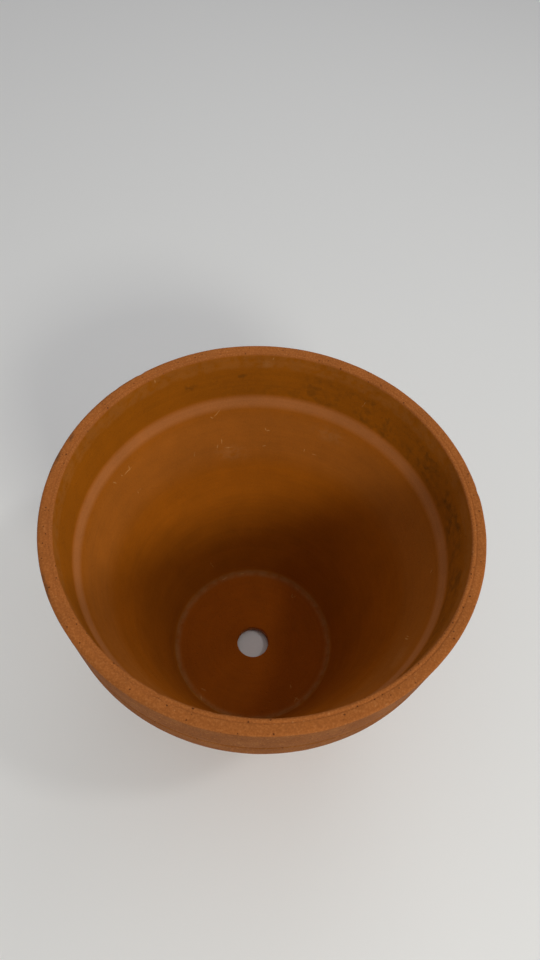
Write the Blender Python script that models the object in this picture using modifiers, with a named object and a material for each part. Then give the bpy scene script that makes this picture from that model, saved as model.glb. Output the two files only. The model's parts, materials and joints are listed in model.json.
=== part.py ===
"""A standard flower pot of fired clay: one turned wall with a rim band, a drain hole and a flat foot.

Run it with: blender --background --python part.py
Units are metres, +Z is up, and the origin is the centre of the foot's resting plane.
"""

import math

import bmesh
import bpy

# Driving dimensions.
RIM_DIAMETER = 0.210        # outside, at the lip, before its edge is rounded
HEIGHT = 0.191              # foot to lip
FOOT_DIAMETER = 0.126       # outside, where the wall meets the ground

# The rim band: the thick collar around the mouth.
LIP_WIDTH = 0.0073          # flat top of the band, measured across
BAND_HEIGHT = 0.042
BAND_TAPER = 0.0015         # how much smaller the band's radius is at its lower edge
BAND_STEP = 0.0055          # how far the band stands out from the body below it

# The inside: a nearly upright collar, a steep ledge, then a cone down to the floor.
LEDGE_TOP_RADIUS = 0.0946
LEDGE_TOP_DEPTH = 0.0315    # below the lip
LEDGE_FOOT_RADIUS = 0.0915
LEDGE_FOOT_DEPTH = 0.0389
FLOOR_RADIUS = 0.0535       # where the cone would meet the floor without its fillet
FLOOR_THICKNESS = 0.0086

# The underside.
DRAIN_HOLE_DIAMETER = 0.021
FOOT_RING_WIDTH = 0.012
RECESS_DEPTH = 0.0015       # the underside inside the foot ring is a little higher
RECESS_SLOPE = 0.0015       # width of the slope from the foot ring up to the recess

# How round each corner of the wall's section is.
LIP_OUTER_ROUND = 0.0020
LIP_INNER_ROUND = 0.0020
BAND_FOOT_ROUND = 0.0020
BAND_ROOT_ROUND = 0.0015
FOOT_ROUND = 0.0020
RECESS_ROUND = 0.0004
HOLE_ROUND = 0.0012
FLOOR_ROUND = 0.0055
LEDGE_ROUND = 0.0025

TURN_STEPS = 72
MERGE_DISTANCE = 0.00001
SMOOTH_ANGLE = math.radians(35)

FIRED_CLAY = (0.43, 0.19, 0.075, 1.0)
FIRED_CLAY_ROUGHNESS = 0.85


def clear_scene():
    for thing in list(bpy.data.objects):
        bpy.data.objects.remove(thing, do_unlink=True)


def rounded_corner(before, corner, after, radius, segments):
    """Points of the arc that rounds a corner of the section, from the side before it to the side after it."""
    corner_x, corner_z = corner
    to_before = (before[0] - corner_x, before[1] - corner_z)
    to_after = (after[0] - corner_x, after[1] - corner_z)
    length_before = math.hypot(*to_before)
    length_after = math.hypot(*to_after)
    before_x, before_z = to_before[0] / length_before, to_before[1] / length_before
    after_x, after_z = to_after[0] / length_after, to_after[1] / length_after
    opening = math.acos(before_x * after_x + before_z * after_z)
    tangent_length = radius / math.tan(opening / 2)
    start = (corner_x + before_x * tangent_length, corner_z + before_z * tangent_length)
    middle_x, middle_z = before_x + after_x, before_z + after_z
    middle_length = math.hypot(middle_x, middle_z)
    centre_distance = radius / math.sin(opening / 2)
    centre_x = corner_x + middle_x / middle_length * centre_distance
    centre_z = corner_z + middle_z / middle_length * centre_distance
    start_angle = math.atan2(start[1] - centre_z, start[0] - centre_x)
    sweep = math.pi - opening
    if before_x * after_z - before_z * after_x > 0:
        sweep = -sweep
    points = []
    for step in range(segments + 1):
        angle = start_angle + sweep * step / segments
        points.append((centre_x + radius * math.cos(angle), centre_z + radius * math.sin(angle)))
    return points


def wall_section():
    """The closed section of the wall at +X: down the outside, in under the foot, up the hole and the inside."""
    rim_radius = RIM_DIAMETER / 2
    foot_radius = FOOT_DIAMETER / 2
    band_foot = HEIGHT - BAND_HEIGHT
    band_foot_radius = rim_radius - BAND_TAPER
    foot_ring_inner = foot_radius - FOOT_RING_WIDTH
    hole_radius = DRAIN_HOLE_DIAMETER / 2
    corners = [
        ((rim_radius, HEIGHT), LIP_OUTER_ROUND, 5),
        ((band_foot_radius, band_foot), BAND_FOOT_ROUND, 4),
        ((band_foot_radius - BAND_STEP, band_foot), BAND_ROOT_ROUND, 2),
        ((foot_radius, 0.0), FOOT_ROUND, 3),
        ((foot_ring_inner, 0.0), RECESS_ROUND, 1),
        ((foot_ring_inner - RECESS_SLOPE, RECESS_DEPTH), RECESS_ROUND, 1),
        ((hole_radius, RECESS_DEPTH), HOLE_ROUND, 2),
        ((hole_radius, FLOOR_THICKNESS), HOLE_ROUND, 2),
        ((FLOOR_RADIUS, FLOOR_THICKNESS), FLOOR_ROUND, 4),
        ((LEDGE_FOOT_RADIUS, HEIGHT - LEDGE_FOOT_DEPTH), LEDGE_ROUND, 2),
        ((LEDGE_TOP_RADIUS, HEIGHT - LEDGE_TOP_DEPTH), LEDGE_ROUND, 2),
        ((rim_radius - LIP_WIDTH, HEIGHT), LIP_INNER_ROUND, 3),
    ]
    section = []
    for index, (corner, radius, segments) in enumerate(corners):
        before = corners[index - 1][0]
        after = corners[(index + 1) % len(corners)][0]
        section.extend(rounded_corner(before, corner, after, radius, segments))
    return section


def make_clay():
    material = bpy.data.materials.new("fired_clay")
    material.use_nodes = True
    shader = material.node_tree.nodes["Principled BSDF"]
    shader.inputs["Base Color"].default_value = FIRED_CLAY
    shader.inputs["Roughness"].default_value = FIRED_CLAY_ROUGHNESS
    shader.inputs["Metallic"].default_value = 0.0
    return material


def make_pot(collection):
    """The whole pot is one fired piece: its wall's section, turned once around the axis."""
    mesh = bpy.data.meshes.new("pot")
    outline = bmesh.new()
    corners = [outline.verts.new((x, 0.0, z)) for x, z in wall_section()]
    for index, corner in enumerate(corners):
        outline.edges.new((corner, corners[(index + 1) % len(corners)]))
    outline.to_mesh(mesh)
    outline.free()
    pot = bpy.data.objects.new("pot", mesh)
    collection.objects.link(pot)
    mesh.materials.append(make_clay())
    turn = pot.modifiers.new("turn", "SCREW")
    turn.axis = "Z"
    turn.angle = math.tau
    turn.steps = TURN_STEPS
    turn.render_steps = TURN_STEPS
    turn.use_merge_vertices = True
    turn.merge_threshold = MERGE_DISTANCE
    turn.use_smooth_shade = True
    smooth_turned_wall(pot)
    return pot


def smooth_turned_wall(pot):
    """Keeps the flat foot and the step under the band crisp, and the turned surfaces smooth."""
    evaluated = pot.evaluated_get(bpy.context.evaluated_depsgraph_get())
    turned = bpy.data.meshes.new_from_object(evaluated)
    turned.name = "pot_wall"
    profile = pot.data
    pot.modifiers.clear()
    pot.data = turned
    bpy.data.meshes.remove(profile)
    turned.shade_smooth()
    turned.set_sharp_from_angle(angle=SMOOTH_ANGLE)


def build():
    clear_scene()
    collection = bpy.data.collections.new("terracotta_pot")
    bpy.context.scene.collection.children.link(collection)
    make_pot(collection)


build()
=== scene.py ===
"""The looks of a standard terracotta flower pot: turned, unglazed fired clay on a pale table in soft light.

The pot is one piece of clay. Its section is drawn point by point, its corners are rounded, and the section
is spun once around the axis. Lengths are in metres and +Z is up; the frame gives the overall sizes.
A place round the pot is given by its azimuth, in degrees from the front (-Y) towards +X.
"""

import json
import math
import random

import bpy
from mathutils import Euler, Matrix, Vector


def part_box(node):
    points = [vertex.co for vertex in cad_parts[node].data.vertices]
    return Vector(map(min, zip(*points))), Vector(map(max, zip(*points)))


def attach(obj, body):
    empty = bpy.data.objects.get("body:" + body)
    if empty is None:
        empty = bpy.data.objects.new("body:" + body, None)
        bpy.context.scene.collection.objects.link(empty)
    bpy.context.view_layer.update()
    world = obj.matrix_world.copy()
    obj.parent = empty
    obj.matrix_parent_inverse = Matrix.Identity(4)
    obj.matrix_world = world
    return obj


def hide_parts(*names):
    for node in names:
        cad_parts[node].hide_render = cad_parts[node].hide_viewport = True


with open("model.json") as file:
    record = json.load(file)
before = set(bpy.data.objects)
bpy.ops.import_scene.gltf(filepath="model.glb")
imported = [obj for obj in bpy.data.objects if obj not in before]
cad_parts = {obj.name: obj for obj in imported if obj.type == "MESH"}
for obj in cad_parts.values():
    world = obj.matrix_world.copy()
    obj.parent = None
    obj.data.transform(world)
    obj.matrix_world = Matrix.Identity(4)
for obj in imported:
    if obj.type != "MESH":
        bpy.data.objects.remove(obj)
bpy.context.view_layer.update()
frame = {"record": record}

MM = 0.001

# Overall sizes and levels, from the frame.
pot_low, pot_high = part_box("pot")
mounts = {mount["name"]: mount for mount in frame["record"]["mounts"]}
RIM_RADIUS = (pot_high.x - pot_low.x) / 2
HEIGHT = pot_high.z
BAND_FOOT = mounts["rim_underside"]["pos_m"][2]

# The rim: a rounded outer edge, a flat lip, and a thin bead that a groove sets off at the inner edge.
LIP_OUTER_ROUND = 1.8 * MM
LIP_INNER_RADIUS = RIM_RADIUS - 7.3 * MM
GROOVE_RADIUS = RIM_RADIUS - 5.2 * MM
GROOVE_WIDTH = 0.9 * MM
GROOVE_DEPTH = 0.4 * MM
BEAD_DROP = 0.1 * MM
BEAD_ROUND = 1.3 * MM

# The outside: the band with its turned line, the step below it, and the body down to the foot.
BAND_TAPER = 1.5 * MM
BAND_LINE_DEPTH = 26.0 * MM
BAND_LINE_WIDTH = 1.6 * MM
BAND_LINE_CUT = 0.4 * MM
BAND_FOOT_ROUND = 2.6 * MM
BAND_STEP = 5.5 * MM
BAND_ROOT_ROUND = 1.5 * MM
FOOT_RADIUS = 63.0 * MM
FOOT_ROUND = 2.2 * MM

# The inside: collar, steep ledge, cone, fillet and floor.
LEDGE_TOP_RADIUS = 94.6 * MM
LEDGE_TOP_DEPTH = 31.5 * MM
LEDGE_FOOT_RADIUS = 91.5 * MM
LEDGE_FOOT_DEPTH = 38.9 * MM
LEDGE_ROUND = 2.2 * MM
FLOOR_HEIGHT = 8.6 * MM
FLOOR_RADIUS = 53.5 * MM
FLOOR_ROUND = 4.5 * MM

# The underside.
HOLE_RADIUS = 10.5 * MM
HOLE_ROUND = 1.2 * MM
FOOT_RING_INNER = 51.0 * MM
RECESS_SLOPE = 1.5 * MM
RECESS_DEPTH = 1.5 * MM

# How finely the wall is made, and how uneven the turned clay is.
FINE_ROUND = 0.3 * MM
FINE_SEGMENTS = 2
ROUND_SEGMENTS = 6
TURN_STEPS = 360
RING_SPACING = 3.0 * MM
MERGE_DISTANCE = 0.01 * MM
SMOOTH_ANGLE = math.radians(40)
TOOL_MARK = 0.05 * MM
TOOL_MARK_MARGIN = 3.0 * MM
TOOL_MARK_SEED = 7
SLUMP_SIZE = 55.0 * MM
SLUMP_DEPTH = 0.4 * MM
DENT_SIZE = 9.0 * MM
DENT_DEPTH = 0.15 * MM
NICKS = 12
NICK_REACH = (1.2 * MM, 2.2 * MM)
NICK_DEPTH = (0.10 * MM, 0.28 * MM)
NICK_SEED = 5

# How far the middle of a rounded edge lies inside its corner, where the knocks are.
LIP_EDGE_INSET = 0.5 * MM
BEAD_EDGE_INSET = 0.4 * MM
BAND_EDGE_INSET = 0.8 * MM


def to_linear(code):
    """A colour written as sRGB hex digits, as the linear colour that a shader takes."""
    channels = []
    for start in (0, 2, 4):
        value = int(code[start:start + 2], 16) / 255
        channels.append(value / 12.92 if value <= 0.04045 else ((value + 0.055) / 1.055) ** 2.4)
    return (*channels, 1.0)


def deselect_everything():
    """Leaves edit mode and selects nothing."""
    if bpy.context.object and bpy.context.object.mode != "OBJECT":
        bpy.ops.object.mode_set(mode="OBJECT")
    bpy.ops.object.select_all(action="DESELECT")


# ---------------------------------------------------------------- the turned wall

def section_corners():
    """The section at +X, down the outside and up the inside: each corner and its rounding's reach."""
    band_line = HEIGHT - BAND_LINE_DEPTH
    slope = BAND_TAPER / (HEIGHT - BAND_FOOT)
    line_radius = RIM_RADIUS - slope * BAND_LINE_DEPTH
    band_foot_radius = RIM_RADIUS - BAND_TAPER
    return [
        (RIM_RADIUS, HEIGHT, LIP_OUTER_ROUND),
        (line_radius, band_line + BAND_LINE_WIDTH / 2, FINE_ROUND),
        (line_radius - BAND_LINE_CUT, band_line, FINE_ROUND),
        (line_radius, band_line - BAND_LINE_WIDTH / 2, FINE_ROUND),
        (band_foot_radius, BAND_FOOT, BAND_FOOT_ROUND),
        (band_foot_radius - BAND_STEP, BAND_FOOT, BAND_ROOT_ROUND),
        (FOOT_RADIUS, 0.0, FOOT_ROUND),
        (FOOT_RING_INNER, 0.0, FINE_ROUND),
        (FOOT_RING_INNER - RECESS_SLOPE, RECESS_DEPTH, FINE_ROUND),
        (HOLE_RADIUS, RECESS_DEPTH, HOLE_ROUND),
        (HOLE_RADIUS, FLOOR_HEIGHT, HOLE_ROUND),
        (FLOOR_RADIUS, FLOOR_HEIGHT, FLOOR_ROUND),
        (LEDGE_FOOT_RADIUS, HEIGHT - LEDGE_FOOT_DEPTH, LEDGE_ROUND),
        (LEDGE_TOP_RADIUS, HEIGHT - LEDGE_TOP_DEPTH, LEDGE_ROUND),
        (LIP_INNER_RADIUS, HEIGHT - BEAD_DROP, BEAD_ROUND),
        (GROOVE_RADIUS - GROOVE_WIDTH / 2, HEIGHT - BEAD_DROP, FINE_ROUND),
        (GROOVE_RADIUS, HEIGHT - GROOVE_DEPTH, FINE_ROUND / 2),
        (GROOVE_RADIUS + GROOVE_WIDTH / 2, HEIGHT, FINE_ROUND),
    ]


def select_vertices(piece, test):
    """Selects the vertices whose place passes the test, and nothing else."""
    bpy.ops.mesh.select_all(action="DESELECT")
    bpy.ops.object.mode_set(mode="OBJECT")
    for vertex in piece.data.vertices:
        vertex.select = test(vertex.co)
    bpy.ops.object.mode_set(mode="EDIT")


def select_edges(piece, test):
    """Selects the edges whose length passes the test, and nothing else."""
    bpy.ops.mesh.select_all(action="DESELECT")
    bpy.ops.object.mode_set(mode="OBJECT")
    places = [vertex.co for vertex in piece.data.vertices]
    for edge in piece.data.edges:
        start, end = edge.vertices
        edge.select = test((places[start] - places[end]).length)
    bpy.ops.object.mode_set(mode="EDIT")


def start_section(x, z):
    """One point in edit mode at the section's first corner: a small plane merged to its middle."""
    deselect_everything()
    bpy.ops.mesh.primitive_plane_add(size=MM, location=(x, 0.0, z))
    piece = bpy.context.object
    piece.name = "clay_wall"
    bpy.ops.object.transform_apply(location=True, rotation=True, scale=True)
    bpy.ops.object.mode_set(mode="EDIT")
    bpy.ops.mesh.select_mode(type="VERT")
    bpy.ops.mesh.select_all(action="SELECT")
    bpy.ops.mesh.merge(type="CENTER")
    return piece


def draw_section():
    """The outline, extruded from corner to corner and closed, then each corner rounded."""
    corners = section_corners()
    piece = start_section(corners[0][0], corners[0][1])
    bpy.ops.mesh.select_all(action="SELECT")
    for (from_x, from_z, _), (to_x, to_z, _) in zip(corners, corners[1:]):
        step = (to_x - from_x, 0.0, to_z - from_z)
        bpy.ops.mesh.extrude_region_move(TRANSFORM_OT_translate={"value": step})
    first = Vector((corners[0][0], 0.0, corners[0][1]))
    last = Vector((corners[-1][0], 0.0, corners[-1][1]))
    ends = (first, last)
    select_vertices(piece, lambda place: min((place - end).length for end in ends) < MERGE_DISTANCE)
    bpy.ops.mesh.edge_face_add()
    for x, z, reach in corners:
        corner = Vector((x, 0.0, z))
        select_vertices(piece, lambda place: (place - corner).length < MERGE_DISTANCE)
        segments = FINE_SEGMENTS if reach <= FINE_ROUND else ROUND_SEGMENTS
        bpy.ops.mesh.bevel(offset=reach, segments=segments, affect="VERTICES")
    return piece


def divide_long_edges(piece):
    """Puts a vertex every few millimetres along the section's straight runs, the longest runs first."""
    for cuts in range(int(HEIGHT / RING_SPACING), 0, -1):
        low, high = cuts * RING_SPACING, (cuts + 1) * RING_SPACING
        select_edges(piece, lambda length: low <= length < high)
        if any(edge.select for edge in piece.data.edges):
            bpy.ops.mesh.subdivide(number_cuts=cuts)


def leave_tool_marks(piece):
    """The maker's rib leaves shallow rings: between foot and lip, each ring stands a little in or out."""
    low, high = TOOL_MARK_MARGIN, HEIGHT - TOOL_MARK_MARGIN
    select_vertices(piece, lambda place: low < place.z < high and place.x < RIM_RADIUS - MM)
    bpy.ops.transform.vertex_random(offset=TOOL_MARK, seed=TOOL_MARK_SEED)


def turn_section(piece):
    """Spins the section once round the axis, closes the seam and turns the faces outwards."""
    bpy.ops.mesh.select_all(action="SELECT")
    bpy.ops.mesh.spin(steps=TURN_STEPS, angle=math.tau, center=(0, 0, 0), axis=(0, 0, 1))
    bpy.ops.mesh.select_all(action="SELECT")
    bpy.ops.mesh.remove_doubles(threshold=MERGE_DISTANCE)
    bpy.ops.mesh.normals_make_consistent(inside=False)
    bpy.ops.object.mode_set(mode="OBJECT")


def slump(piece):
    """Drying and firing pull the wall a little out of true, and handling dents it: always into the clay."""
    for name, size, depth in (("slump", SLUMP_SIZE, SLUMP_DEPTH), ("dents", DENT_SIZE, DENT_DEPTH)):
        cloud = bpy.data.textures.new(name, "CLOUDS")
        cloud.noise_scale = size
        modifier = piece.modifiers.new(name, "DISPLACE")
        modifier.texture = cloud
        modifier.texture_coords = "LOCAL"
        modifier.strength = depth
        modifier.mid_level = 1.0
        bpy.ops.object.modifier_apply(modifier=name)


def nick_edges(piece):
    """Small knocks along the lip's outer and inner edge and the band's foot, the edges that stand out most.

    Each edge has its radius and height, and which way its clay gives, outwards and upwards.
    """
    random.seed(NICK_SEED)
    edges = (
        (RIM_RADIUS - LIP_EDGE_INSET, HEIGHT - LIP_EDGE_INSET, -1, -1),
        (LIP_INNER_RADIUS + BEAD_EDGE_INSET, HEIGHT - BEAD_EDGE_INSET, 1, -1),
        (RIM_RADIUS - BAND_TAPER - BAND_EDGE_INSET, BAND_FOOT + BAND_EDGE_INSET, -1, 1),
    )
    bpy.ops.object.mode_set(mode="EDIT")
    for number in range(NICKS):
        radius, height, outwards, upwards = edges[number % len(edges)]
        away = direction(random.uniform(0, 360))
        middle = away * radius + Vector((0, 0, height))
        reach = random.uniform(*NICK_REACH)
        depth = random.uniform(*NICK_DEPTH)
        push = (away * outwards + Vector((0, 0, upwards))) * depth / math.sqrt(2)
        select_vertices(piece, lambda place: (place - middle).length < reach)
        bpy.ops.transform.translate(value=push)
    bpy.ops.object.mode_set(mode="OBJECT")


def make_wall():
    """The whole pot as one mesh, from the section to the knocks."""
    piece = draw_section()
    divide_long_edges(piece)
    leave_tool_marks(piece)
    turn_section(piece)
    slump(piece)
    nick_edges(piece)
    bpy.ops.object.shade_smooth_by_angle(angle=SMOOTH_ANGLE)
    return piece


# ---------------------------------------------------------------- the floor, the camera and the lights

TABLE_SIZE = 80.0
TABLE_COLOUR = "EFEFEC"
TABLE_ROUGHNESS = 0.6
CAMERA_LENS = 25.0
CAMERA_NEAR = 10.0 * MM
CAMERA_OFFSET = Vector((0.0011, -0.1658, 0.2667))     # from the middle of the mouth
CAMERA_ELEVATION = math.radians(56.05)
CAMERA_ROLL = math.radians(5.45)


def make_table():
    """A matt white laminate top: pale and even, with no gloss to mirror the pot."""
    deselect_everything()
    bpy.ops.mesh.primitive_plane_add(size=TABLE_SIZE, location=(0, 0, 0))
    table = bpy.context.object
    table.name = "table"
    material = bpy.data.materials.new("matt_white_table_top")
    material.use_nodes = True
    shader = material.node_tree.nodes["Principled BSDF"]
    shader.inputs["Base Color"].default_value = to_linear(TABLE_COLOUR)
    shader.inputs["Roughness"].default_value = TABLE_ROUGHNESS
    table.data.materials.append(material)


def make_camera():
    """Looks down into the pot from above its front edge, a little rolled."""
    camera = bpy.data.objects.new("camera", bpy.data.cameras.new("camera"))
    bpy.context.scene.collection.objects.link(camera)
    camera.data.lens = CAMERA_LENS
    camera.data.clip_start = CAMERA_NEAR
    camera.location = Vector((0, 0, HEIGHT)) + CAMERA_OFFSET
    tilt = Euler((math.pi / 2 - CAMERA_ELEVATION, 0, 0)).to_matrix()
    roll = Euler((0, 0, CAMERA_ROLL)).to_matrix()
    camera.rotation_euler = (tilt @ roll).to_euler()
    bpy.context.scene.camera = camera


# Softboxes: azimuth and elevation in degrees, distance from the mouth, width and height, watts and colour.
SOFTBOXES = {
    "key": (26, 35.0, 1.2, 0.27, 0.24, 5.6, "FFFFF8"),
    "side": (110, 38, 1.3, 0.60, 0.60, 0.5, "FFFFFF"),
    "back": (165, 45, 1.3, 0.60, 0.60, 1.3, "FFFFFF"),
    "top": (0, 88, 1.3, 1.00, 1.00, 0.6, "FFFFFF"),
    "lamp": (80, 62, 1.3, 0.10, 0.10, 1.6, "FFFFFF"),
}
ROOM_COLOUR = "AAAAAD"
ROOM_STRENGTH = 1.0


def direction(azimuth, elevation=0.0):
    """The unit vector at an azimuth round the pot and an elevation above its mouth, both in degrees."""
    turn, lift = math.radians(azimuth), math.radians(elevation)
    return Vector((math.sin(turn) * math.cos(lift), -math.cos(turn) * math.cos(lift), math.sin(lift)))


def make_lights():
    """Softboxes that face the mouth, in a room with pale walls."""
    middle = Vector((0, 0, HEIGHT))
    for name, (azimuth, elevation, distance, width, height, watts, colour) in SOFTBOXES.items():
        lamp = bpy.data.lights.new(name, "AREA")
        lamp.shape = "RECTANGLE"
        lamp.size = width
        lamp.size_y = height
        lamp.energy = watts
        lamp.color = to_linear(colour)[:3]
        light = bpy.data.objects.new(name, lamp)
        bpy.context.scene.collection.objects.link(light)
        away = direction(azimuth, elevation)
        light.location = middle + away * distance
        light.rotation_euler = away.to_track_quat("Z", "Y").to_euler()
    room = bpy.data.worlds.new("room")
    room.use_nodes = True
    background = room.node_tree.nodes["Background"]
    background.inputs["Color"].default_value = to_linear(ROOM_COLOUR)
    background.inputs["Strength"].default_value = ROOM_STRENGTH
    bpy.context.scene.world = room


# ---------------------------------------------------------------- fired clay

# Earthenware, pressed and turned on a wheel and fired without glaze: dull, dry and porous. The iron in it
# burns to an orange brown. The inside keeps the deep colour, and where hands and tools rub it, it looks
# paler and dusty.
CLAY_OUTSIDE = "864B16"
CLAY_BODY = "A2602C"
CLAY_INSIDE = "A75B08"
CLAY_COLLAR = "9C5604"
# Painted light: the ledge is drawn paler and pinker than the wall, for the light that its upturned face
# catches.
LEDGE_PAINTED_LIGHT = "B36E36"
CLAY_LIP = "AA632B"
CLAY_FLOOR = "AF5A07"
CLAY_DUST = "B5824E"
CLAY_SCRATCH = "D29A58"
CLAY_SMUDGE = "4A300C"
CLAY_SOOT = "523A28"
# The pits are hollows in the relief; their dark colour is painted shade inside them.
PIT_PAINTED_SHADE = "471D08"
CLAY_SAND = "C98C54"
CLAY_GRIT = "6F3610"
CLAY_RIBBING = "5E3410"
LIME_BLOOM = "CDB596"

ROUGHNESS = (0.74, 0.98)
REFRACTION = 1.45
SPECULAR_LEVEL = 0.15         # open pores swallow most of the gloss
DIFFUSE_ROUGHNESS = 0.5

# Noises: the size in millimetres of what each draws, and how many finer sizes it adds.
NOISES = {
    "clouds": (34.0, 3.0),
    "blotches": (13.0, 4.0),
    "grain": (0.8, 2.0),      # coarser than the real grit of about half a millimetre, so that it shows
    "dust": (4.0, 6.0),
}
STREAK_LENGTH = 130.0
STREAK_PITCH = 2.2
STREAK_DETAIL = 3.0

# The clay's shade: the darkest, and how much each noise adds to it.
DARKEST_SHADE = 0.5
UNEVENNESS = {"clouds": 0.28, "blotches": 0.22, "streaks": 0.17, "grain": 0.24}

# How high each pattern stands out of the clay, in millimetres.
RELIEF = {"grain": 0.10, "streaks": 0.08, "blotches": 0.20, "pits": -0.18, "sand": 0.06}

# Round spots: spacing in millimetres, the largest spot as a share of it, and a shift that sets them apart.
PITS = (1.7, 0.30, 0.0)
SAND = (2.3, 0.24, 3.7)
EMPTY_SHARE = 0.45

# How outlines wander: the size of their waves and how far they reach, in millimetres.
WANDER_DETAIL = 3.0
RAGGED = (9.0, 5.0)
LOOSE = (4.0, 5.0)
FINE = (1.5, 0.9)

# A cone in the middle of the wall parts the inside from the outside, above the underside: the cone's radius
# at the foot, how much it widens as it rises, and half the softness of its edge.
WALL_MIDDLE = 58.0 * MM
WALL_LEAN = 0.235
WALL_EDGE = 1.0 * MM
UNDERSIDE = (5.0 * MM, 6.0 * MM)

# The stains on the collar grow stronger from one side of the pot (-X) to the other.
DAMP_SIDE = (-80.0 * MM, 80.0 * MM)

# Zones of the wall: from which height to which, and half the softness of their edges.
EVEN_ZONES = {
    "lip": (HEIGHT - 1.6 * MM, HEIGHT + 9.0 * MM, 0.7 * MM),
    "collar": (HEIGHT - 31.0 * MM, HEIGHT - 1.6 * MM, 0.7 * MM),
    "ledge": (HEIGHT - 38.6 * MM, HEIGHT - 32.2 * MM, 2.2 * MM),
    "floor": (0.0, FLOOR_HEIGHT + 0.8 * MM, 0.5 * MM),
    "body": (-MM, BAND_FOOT - MM, 0.5 * MM),
}
RAGGED_ZONES = {
    # A paler band round the top of the inside, just under the lip.
    "rubbed_band": (HEIGHT - 10.5 * MM, HEIGHT - 1.6 * MM, 1.6 * MM),
    "mottled_band": (HEIGHT - 31.0 * MM, HEIGHT - 12.0 * MM, 3.0 * MM),
    "upper_cone": (HEIGHT - 76.0 * MM, HEIGHT - 40.0 * MM, 10.0 * MM),
    "foot": (-MM, 9.0 * MM, 5.0 * MM),
}
# The fillet leans, so its zone goes by the height and the radius added up.
LEANING_ZONES = {
    "fillet": (FLOOR_HEIGHT + FLOOR_RADIUS - 3.0 * MM, FLOOR_HEIGHT + FLOOR_RADIUS + 2.5 * MM, 2.0 * MM),
}

# Marks are thin ovals that lie in the surface, and this is how far they reach into the clay and out of it.
MARK_THICKNESS = 4.0 * MM
# A step of half a degree round the pot and one of a tenth of a millimetre inwards show which way each lies.
STEP_ROUND = 0.5
STEP_IN = 0.1
FAR_AWAY = 1000.0

# Scrapes: azimuth, way in from the lip's outer edge, length, width in millimetres, and lean in degrees.
SCRAPES = [
    (202, 49, 9, 0.7, 45),
    (204, 51, 3, 0.8, -50),
    (219, 54, 3, 1.2, -60),
    (242, 55, 8, 0.9, 0),
    (241, 54, 4, 0.7, 75),
    (245, 54, 3, 0.7, 110),
    (249, 53, 4, 1.0, -60),
    (182, 64, 3, 1.0, 5),
    (183, 63, 3, 0.8, -70),
    (194, 62, 2, 0.7, 90),
    (162, 75, 5, 0.9, 10),
    (166, 74, 3, 0.8, 80),
    (183, 76, 3, 1.1, 20),
    (201, 70, 5, 0.8, 90),
    (203, 74, 5, 0.9, 75),
    (198, 76, 6, 0.9, -10),
    (213, 74, 4, 1.2, 70),
    (242, 73, 4, 0.9, 90),
    (241, 73, 3, 0.7, 0),
    (86, 55, 3, 0.7, 80),
    (88, 54, 4, 0.7, -65),
    (65, 67, 8, 1.0, 70),
    (66, 67, 6, 0.6, 70),
    (216, 178, 10, 1.1, 105),
    (144, 204, 4, 0.9, 60),
    (146, 204, 4, 0.8, 120),
    (194, 195, 4, 0.8, 0),
    (209, 197, 6, 0.7, 5),
    (41, 200, 5, 0.9, 20),
    (42, 200, 4, 0.8, -60),
    (45, 209, 5, 0.8, 50),
    (321, 202, 5, 1.4, 15),
    (324, 197, 5, 0.9, -40),
    (222, 11, 3, 0.8, 90),
    (223, 15, 2, 0.7, 90),
    (182, 11, 2, 0.8, 80),
    (149, 25, 6, 0.6, 75),
    (169, 4, 6, 0.3, 90),
]

# Dark smudges, grey scuffs and dusty patches, in the same order: azimuth, way in, length, width and lean.
SMUDGES = [
    (95, 23, 9, 5, 0),
    (104, 28, 12, 6, 20),
    (120, 24, 8, 5, -15),
    (118, 31, 10, 5, 10),
    (140, 25, 7, 4, 0),
    (192, 24, 8, 4, 10),
    (210, 25, 9, 5, -10),
]
SCUFFS = [
    (262, 1.6, 14, 3.2, 0),
    (254, 2.4, 9, 3.0, 10),
    (230, 0.8, 20, 1.6, 0),
    (300, 1.2, 18, 1.8, 0),
]
DUSTY_PATCHES = [
    (184, 15.5, 9, 6, 0),
    (57, 62, 20, 14, 30),
    (157, 56, 24, 12, 0),
    (197, 80, 24, 14, -20),
]


def add_node(tree, kind, inputs=None, **settings):
    """Adds a node with its settings.

    An input takes a value, a socket, or a node, of which it reads the first output in use.
    """
    made = tree.nodes.new(kind)
    for name, value in settings.items():
        setattr(made, name, value)
    for name, value in (inputs or {}).items():
        if isinstance(name, str):
            socket = next(entry for entry in made.inputs if entry.name == name and entry.enabled)
        else:
            socket = made.inputs[name]
        if isinstance(value, bpy.types.Node):
            value = next(entry for entry in value.outputs if entry.enabled)
        if isinstance(value, bpy.types.NodeSocket):
            tree.links.new(value, socket)
        else:
            socket.default_value = value
    return made


def surface_point(azimuth, way):
    """The point that lies a way in from the lip's outer edge, down the inside and over the floor."""
    stops = [
        (RIM_RADIUS, HEIGHT),
        (LIP_INNER_RADIUS, HEIGHT),
        (LEDGE_TOP_RADIUS, HEIGHT - LEDGE_TOP_DEPTH),
        (LEDGE_FOOT_RADIUS, HEIGHT - LEDGE_FOOT_DEPTH),
        (FLOOR_RADIUS, FLOOR_HEIGHT),
        (HOLE_RADIUS, FLOOR_HEIGHT),
    ]
    for (radius, height), (next_radius, next_height) in zip(stops, stops[1:]):
        run = math.hypot(next_radius - radius, next_height - height)
        if way <= run:
            break
        way -= run
    share = way / run
    radius += (next_radius - radius) * share
    height += (next_height - height) * share
    return direction(azimuth) * radius + Vector((0, 0, height))


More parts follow.
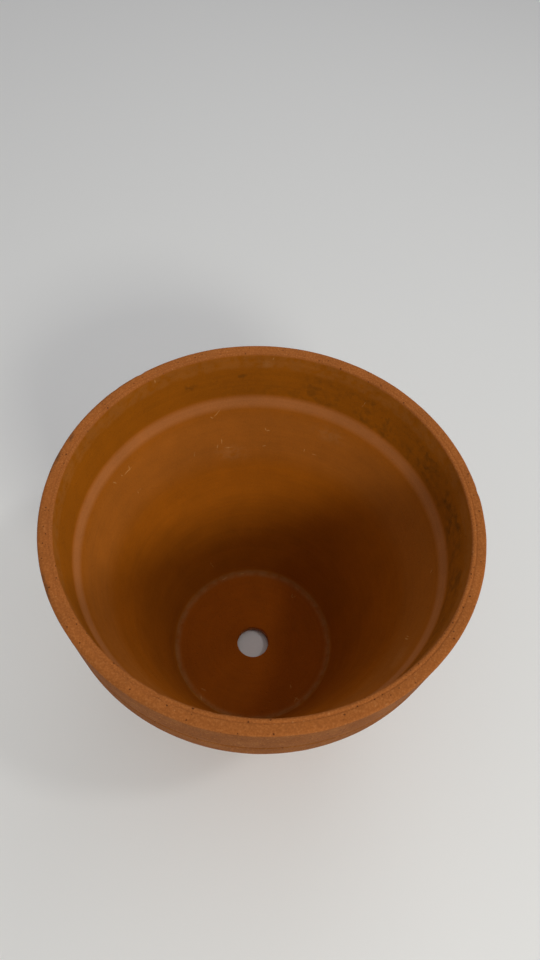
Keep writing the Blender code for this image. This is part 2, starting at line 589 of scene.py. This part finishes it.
def nearest_mark(tree, place, marks):
    """How near a point lies to one of the marks: 0 in a mark's middle, 1 at its outline, more beyond."""
    nearest = FAR_AWAY
    for azimuth, way, length, width, lean in marks:
        middle = surface_point(azimuth, way * MM)
        around = (surface_point(azimuth + STEP_ROUND, way * MM) - middle).normalized()
        inwards = (surface_point(azimuth, (way + STEP_IN) * MM) - middle).normalized()
        turn = math.radians(lean)
        along = around * math.cos(turn) + inwards * math.sin(turn)
        across = inwards * math.cos(turn) - around * math.sin(turn)
        facing = along.cross(across)
        in_mark = add_node(tree, "ShaderNodeMapping", {
            "Vector": place,
            "Location": middle,
            "Rotation": Matrix((along, across, facing)).transposed().to_euler(),
            "Scale": (length * MM / 2, width * MM / 2, MARK_THICKNESS),
        }, vector_type="TEXTURE")
        reach = add_node(tree, "ShaderNodeVectorMath", {0: in_mark}, operation="LENGTH")
        nearest = add_node(tree, "ShaderNodeMath", {0: reach, 1: nearest}, operation="MINIMUM")
    return nearest


def wandering(tree, place, size, reach):
    """The place, pushed about by a noise of a size and a reach in millimetres, so that outlines wander."""
    noise = add_node(tree, "ShaderNodeTexNoise", {
        "Vector": place,
        "Scale": 1000 / size,
        "Detail": WANDER_DETAIL,
    })
    push = add_node(tree, "ShaderNodeVectorMath", {
        0: noise.outputs["Color"],
        1: (0.5, 0.5, 0.5),
    }, operation="SUBTRACT")
    push = add_node(tree, "ShaderNodeVectorMath", {0: push, "Scale": reach * MM}, operation="SCALE")
    return add_node(tree, "ShaderNodeVectorMath", {0: place, 1: push}, operation="ADD")


def where(tree, *conditions):
    """A mask that is 1 where all of the conditions hold, and 0 where one of them doesn't.

    A condition is a mask, or a value with the level where it doesn't hold and the one where it fully does.
    """
    joined = None
    for condition in conditions:
        if isinstance(condition, tuple):
            value, none, full = condition
            condition = add_node(tree, "ShaderNodeMapRange", {
                "Value": value,
                "From Min": none,
                "From Max": full,
            }, interpolation_type="SMOOTHSTEP")
        if joined is not None:
            condition = add_node(tree, "ShaderNodeMath", {0: joined, 1: condition}, operation="MULTIPLY")
        joined = condition
    return joined


def spots(tree, place, spacing, largest, shift):
    """Scattered round spots, one to a cell, of many sizes up to a share of it. Many cells stay empty."""
    shifted = add_node(tree, "ShaderNodeVectorMath", {0: place, 1: (shift, shift, shift)}, operation="ADD")
    cells = add_node(tree, "ShaderNodeTexVoronoi", {"Vector": shifted, "Scale": 1000 / spacing})
    lot = add_node(tree, "ShaderNodeSeparateColor", {0: cells.outputs["Color"]})
    size = add_node(tree, "ShaderNodeMapRange", {
        "Value": lot.outputs[0],
        "From Min": EMPTY_SHARE,
        "To Max": largest,
    })
    within = add_node(tree, "ShaderNodeMath", {0: size, 1: cells.outputs["Distance"]}, operation="SUBTRACT")
    return where(tree, (within, 0.0, largest / 4))


def turning_streaks(tree, place, turned):
    """A noise drawn out round the pot, as the maker's rib leaves it, along the wall as over the floor."""
    slow = 1000 / STREAK_LENGTH
    flat = add_node(tree, "ShaderNodeVectorMath", {0: place, 1: (slow, slow, 0)}, operation="MULTIPLY")
    pitch = add_node(tree, "ShaderNodeMath", {0: turned, 1: 1000 / STREAK_PITCH}, operation="MULTIPLY")
    rise = add_node(tree, "ShaderNodeCombineXYZ", {"Z": pitch})
    wound = add_node(tree, "ShaderNodeVectorMath", {0: flat, 1: rise}, operation="ADD")
    return add_node(tree, "ShaderNodeTexNoise", {"Vector": wound, "Scale": 1.0, "Detail": STREAK_DETAIL})


def clay_patterns(tree):
    """Every pattern on the clay by its name: noises, zones of the wall, and marks."""
    place = add_node(tree, "ShaderNodeTexCoord").outputs["Object"]
    sides = add_node(tree, "ShaderNodeSeparateXYZ", {0: place})
    height = sides.outputs["Z"]
    level = add_node(tree, "ShaderNodeVectorMath", {0: place, 1: (1, 1, 0)}, operation="MULTIPLY")
    radius = add_node(tree, "ShaderNodeVectorMath", {0: level}, operation="LENGTH").outputs["Value"]
    turned = add_node(tree, "ShaderNodeMath", {0: height, 1: radius}, operation="ADD")
    ragged = wandering(tree, place, *RAGGED)
    ragged_height = add_node(tree, "ShaderNodeSeparateXYZ", {0: ragged}).outputs["Z"]
    loose = wandering(tree, place, *LOOSE)
    fine = wandering(tree, place, *FINE)

    patterns = {"streaks": turning_streaks(tree, place, turned)}
    for name, (size, detail) in NOISES.items():
        patterns[name] = add_node(tree, "ShaderNodeTexNoise", {
            "Vector": place,
            "Scale": 1000 / size,
            "Detail": detail,
        })

    lean = add_node(tree, "ShaderNodeMath", {0: height, 1: -WALL_LEAN, 2: radius}, operation="MULTIPLY_ADD")
    within_wall = (lean, WALL_MIDDLE + WALL_EDGE, WALL_MIDDLE - WALL_EDGE)
    patterns["inside"] = where(tree, within_wall, (height, *UNDERSIDE))
    patterns["damp_side"] = where(tree, (sides.outputs["X"], *DAMP_SIDE))
    for zones, level in ((EVEN_ZONES, height), (RAGGED_ZONES, ragged_height), (LEANING_ZONES, turned)):
        for name, (low, high, edge) in zones.items():
            from_low = (level, low - edge, low + edge)
            up_to_high = (level, high + edge, high - edge)
            patterns[name] = where(tree, from_low, up_to_high)

    patterns["pits"] = spots(tree, fine, *PITS)
    patterns["sand"] = spots(tree, fine, *SAND)
    dust = patterns["dust"]
    broken = where(tree, (dust, 0.36, 0.6))
    patterns["scrapes"] = where(tree, (nearest_mark(tree, fine, SCRAPES), 1.1, 0.2), (dust, 0.38, 0.5))
    patterns["smudges"] = where(tree, (nearest_mark(tree, loose, SMUDGES), 1.2, 0.3), broken)
    patterns["scuffs"] = where(tree, (nearest_mark(tree, loose, SCUFFS), 1.2, 0.2), broken)
    patterns["dusty"] = where(tree, (nearest_mark(tree, loose, DUSTY_PATCHES), 1.3, 0.1), broken)
    return patterns


def clay_colour(tree, patterns):
    """The clay's colour: zones first, then dust and stains, and last what is small."""
    inside = patterns["inside"]
    blotches = patterns["blotches"]
    grain = patterns["grain"]
    dust = patterns["dust"]
    outside = add_node(tree, "ShaderNodeMath", {0: 1.0, 1: inside}, operation="SUBTRACT")
    bare = add_node(tree, "ShaderNodeMath", {0: outside, 1: patterns["lip"]}, operation="MAXIMUM")
    mottled = where(tree, inside, patterns["mottled_band"], patterns["damp_side"],
                    (blotches, 0.34, 0.62), (dust, 0.34, 0.66))
    # Each layer: where it lies, its colour, and its strength.
    layers = [
        (patterns["body"], CLAY_BODY, 1.0),
        (where(tree, outside, (blotches, 0.36, 0.66), (dust, 0.3, 0.7)), CLAY_DUST, 0.18),
        (inside, CLAY_INSIDE, 1.0),
        (where(tree, inside, patterns["collar"]), CLAY_COLLAR, 1.0),
        (where(tree, inside, patterns["upper_cone"]), CLAY_DUST, 0.10),
        # Painted light on the ledge: paler and pinker than the wall, for the light its upturned face
        # catches.
        (where(tree, inside, patterns["ledge"]), LEDGE_PAINTED_LIGHT, 1.0),
        (where(tree, inside, patterns["floor"]), CLAY_FLOOR, 1.0),
        (patterns["lip"], CLAY_LIP, 1.0),
        (mottled, CLAY_SMUDGE, 0.46),
        # A paler band in patches round the top of the inside, just under the lip.
        (where(tree, inside, patterns["rubbed_band"], (dust, 0.3, 0.6)), CLAY_DUST, 0.12),
        (where(tree, inside, patterns["fillet"], (dust, 0.1, 0.7)), CLAY_DUST, 0.5),
        (where(tree, outside, patterns["foot"], (blotches, 0.4, 0.7)), LIME_BLOOM, 0.3),
        (patterns["smudges"], CLAY_SMUDGE, 0.38),
        (patterns["dusty"], CLAY_DUST, 0.2),
        (where(tree, outside, (patterns["streaks"], 0.46, 0.60)), CLAY_RIBBING, 0.2),
        (where(tree, bare, (grain, 0.55, 0.40)), CLAY_GRIT, 0.16),
        (where(tree, bare, (grain, 0.54, 0.68)), CLAY_SAND, 0.16),
        (patterns["scuffs"], CLAY_SOOT, 0.7),
        (where(tree, bare, patterns["sand"]), CLAY_SAND, 0.35),
        # Painted shade inside the open pits, which the relief makes hollow.
        (where(tree, bare, patterns["pits"]), PIT_PAINTED_SHADE, 0.7),
        (patterns["scrapes"], CLAY_SCRATCH, 0.62),
    ]
    colour = to_linear(CLAY_OUTSIDE)
    for mask, code, strength in layers:
        amount = add_node(tree, "ShaderNodeMath", {0: mask, 1: strength}, operation="MULTIPLY")
        colour = add_node(tree, "ShaderNodeMix", {
            "Factor": amount,
            "A": colour,
            "B": to_linear(code),
        }, data_type="RGBA")
    shade = DARKEST_SHADE
    for name, share in UNEVENNESS.items():
        shade = add_node(tree, "ShaderNodeMath", {
            0: patterns[name],
            1: share,
            2: shade,
        }, operation="MULTIPLY_ADD")
    return add_node(tree, "ShaderNodeVectorMath", {0: colour, "Scale": shade}, operation="SCALE")


def clay_relief(tree, patterns):
    """The fine relief: grain, turning lines, shallow hollows, open pits and crumbs."""
    rise = 0.0
    for name, depth in RELIEF.items():
        rise = add_node(tree, "ShaderNodeMath", {
            0: patterns[name],
            1: depth,
            2: rise,
        }, operation="MULTIPLY_ADD")
    return add_node(tree, "ShaderNodeBump", {"Height": rise, "Distance": MM, "Strength": 1.0})


def make_fired_clay():
    """Turned, unglazed terracotta: its gloss is all but gone, and dust makes it duller in places."""
    material = bpy.data.materials.new("turned_unglazed_terracotta")
    material.use_nodes = True
    tree = material.node_tree
    shader = tree.nodes["Principled BSDF"]
    patterns = clay_patterns(tree)
    glossiest, dullest = ROUGHNESS
    roughness = add_node(tree, "ShaderNodeMapRange", {
        "Value": patterns["dust"],
        "To Min": glossiest,
        "To Max": dullest,
    })
    tree.links.new(clay_colour(tree, patterns).outputs["Vector"], shader.inputs["Base Color"])
    tree.links.new(clay_relief(tree, patterns).outputs["Normal"], shader.inputs["Normal"])
    tree.links.new(roughness.outputs["Result"], shader.inputs["Roughness"])
    shader.inputs["IOR"].default_value = REFRACTION
    shader.inputs["Specular IOR Level"].default_value = SPECULAR_LEVEL
    shader.inputs["Diffuse Roughness"].default_value = DIFFUSE_ROUGHNESS
    return material


# ---------------------------------------------------------------- the build

make_camera()
make_table()
make_lights()
wall = make_wall()
wall.data.materials.append(make_fired_clay())
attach(wall, "root")
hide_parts("pot")

bpy.context.scene.view_settings.view_transform = "Standard"
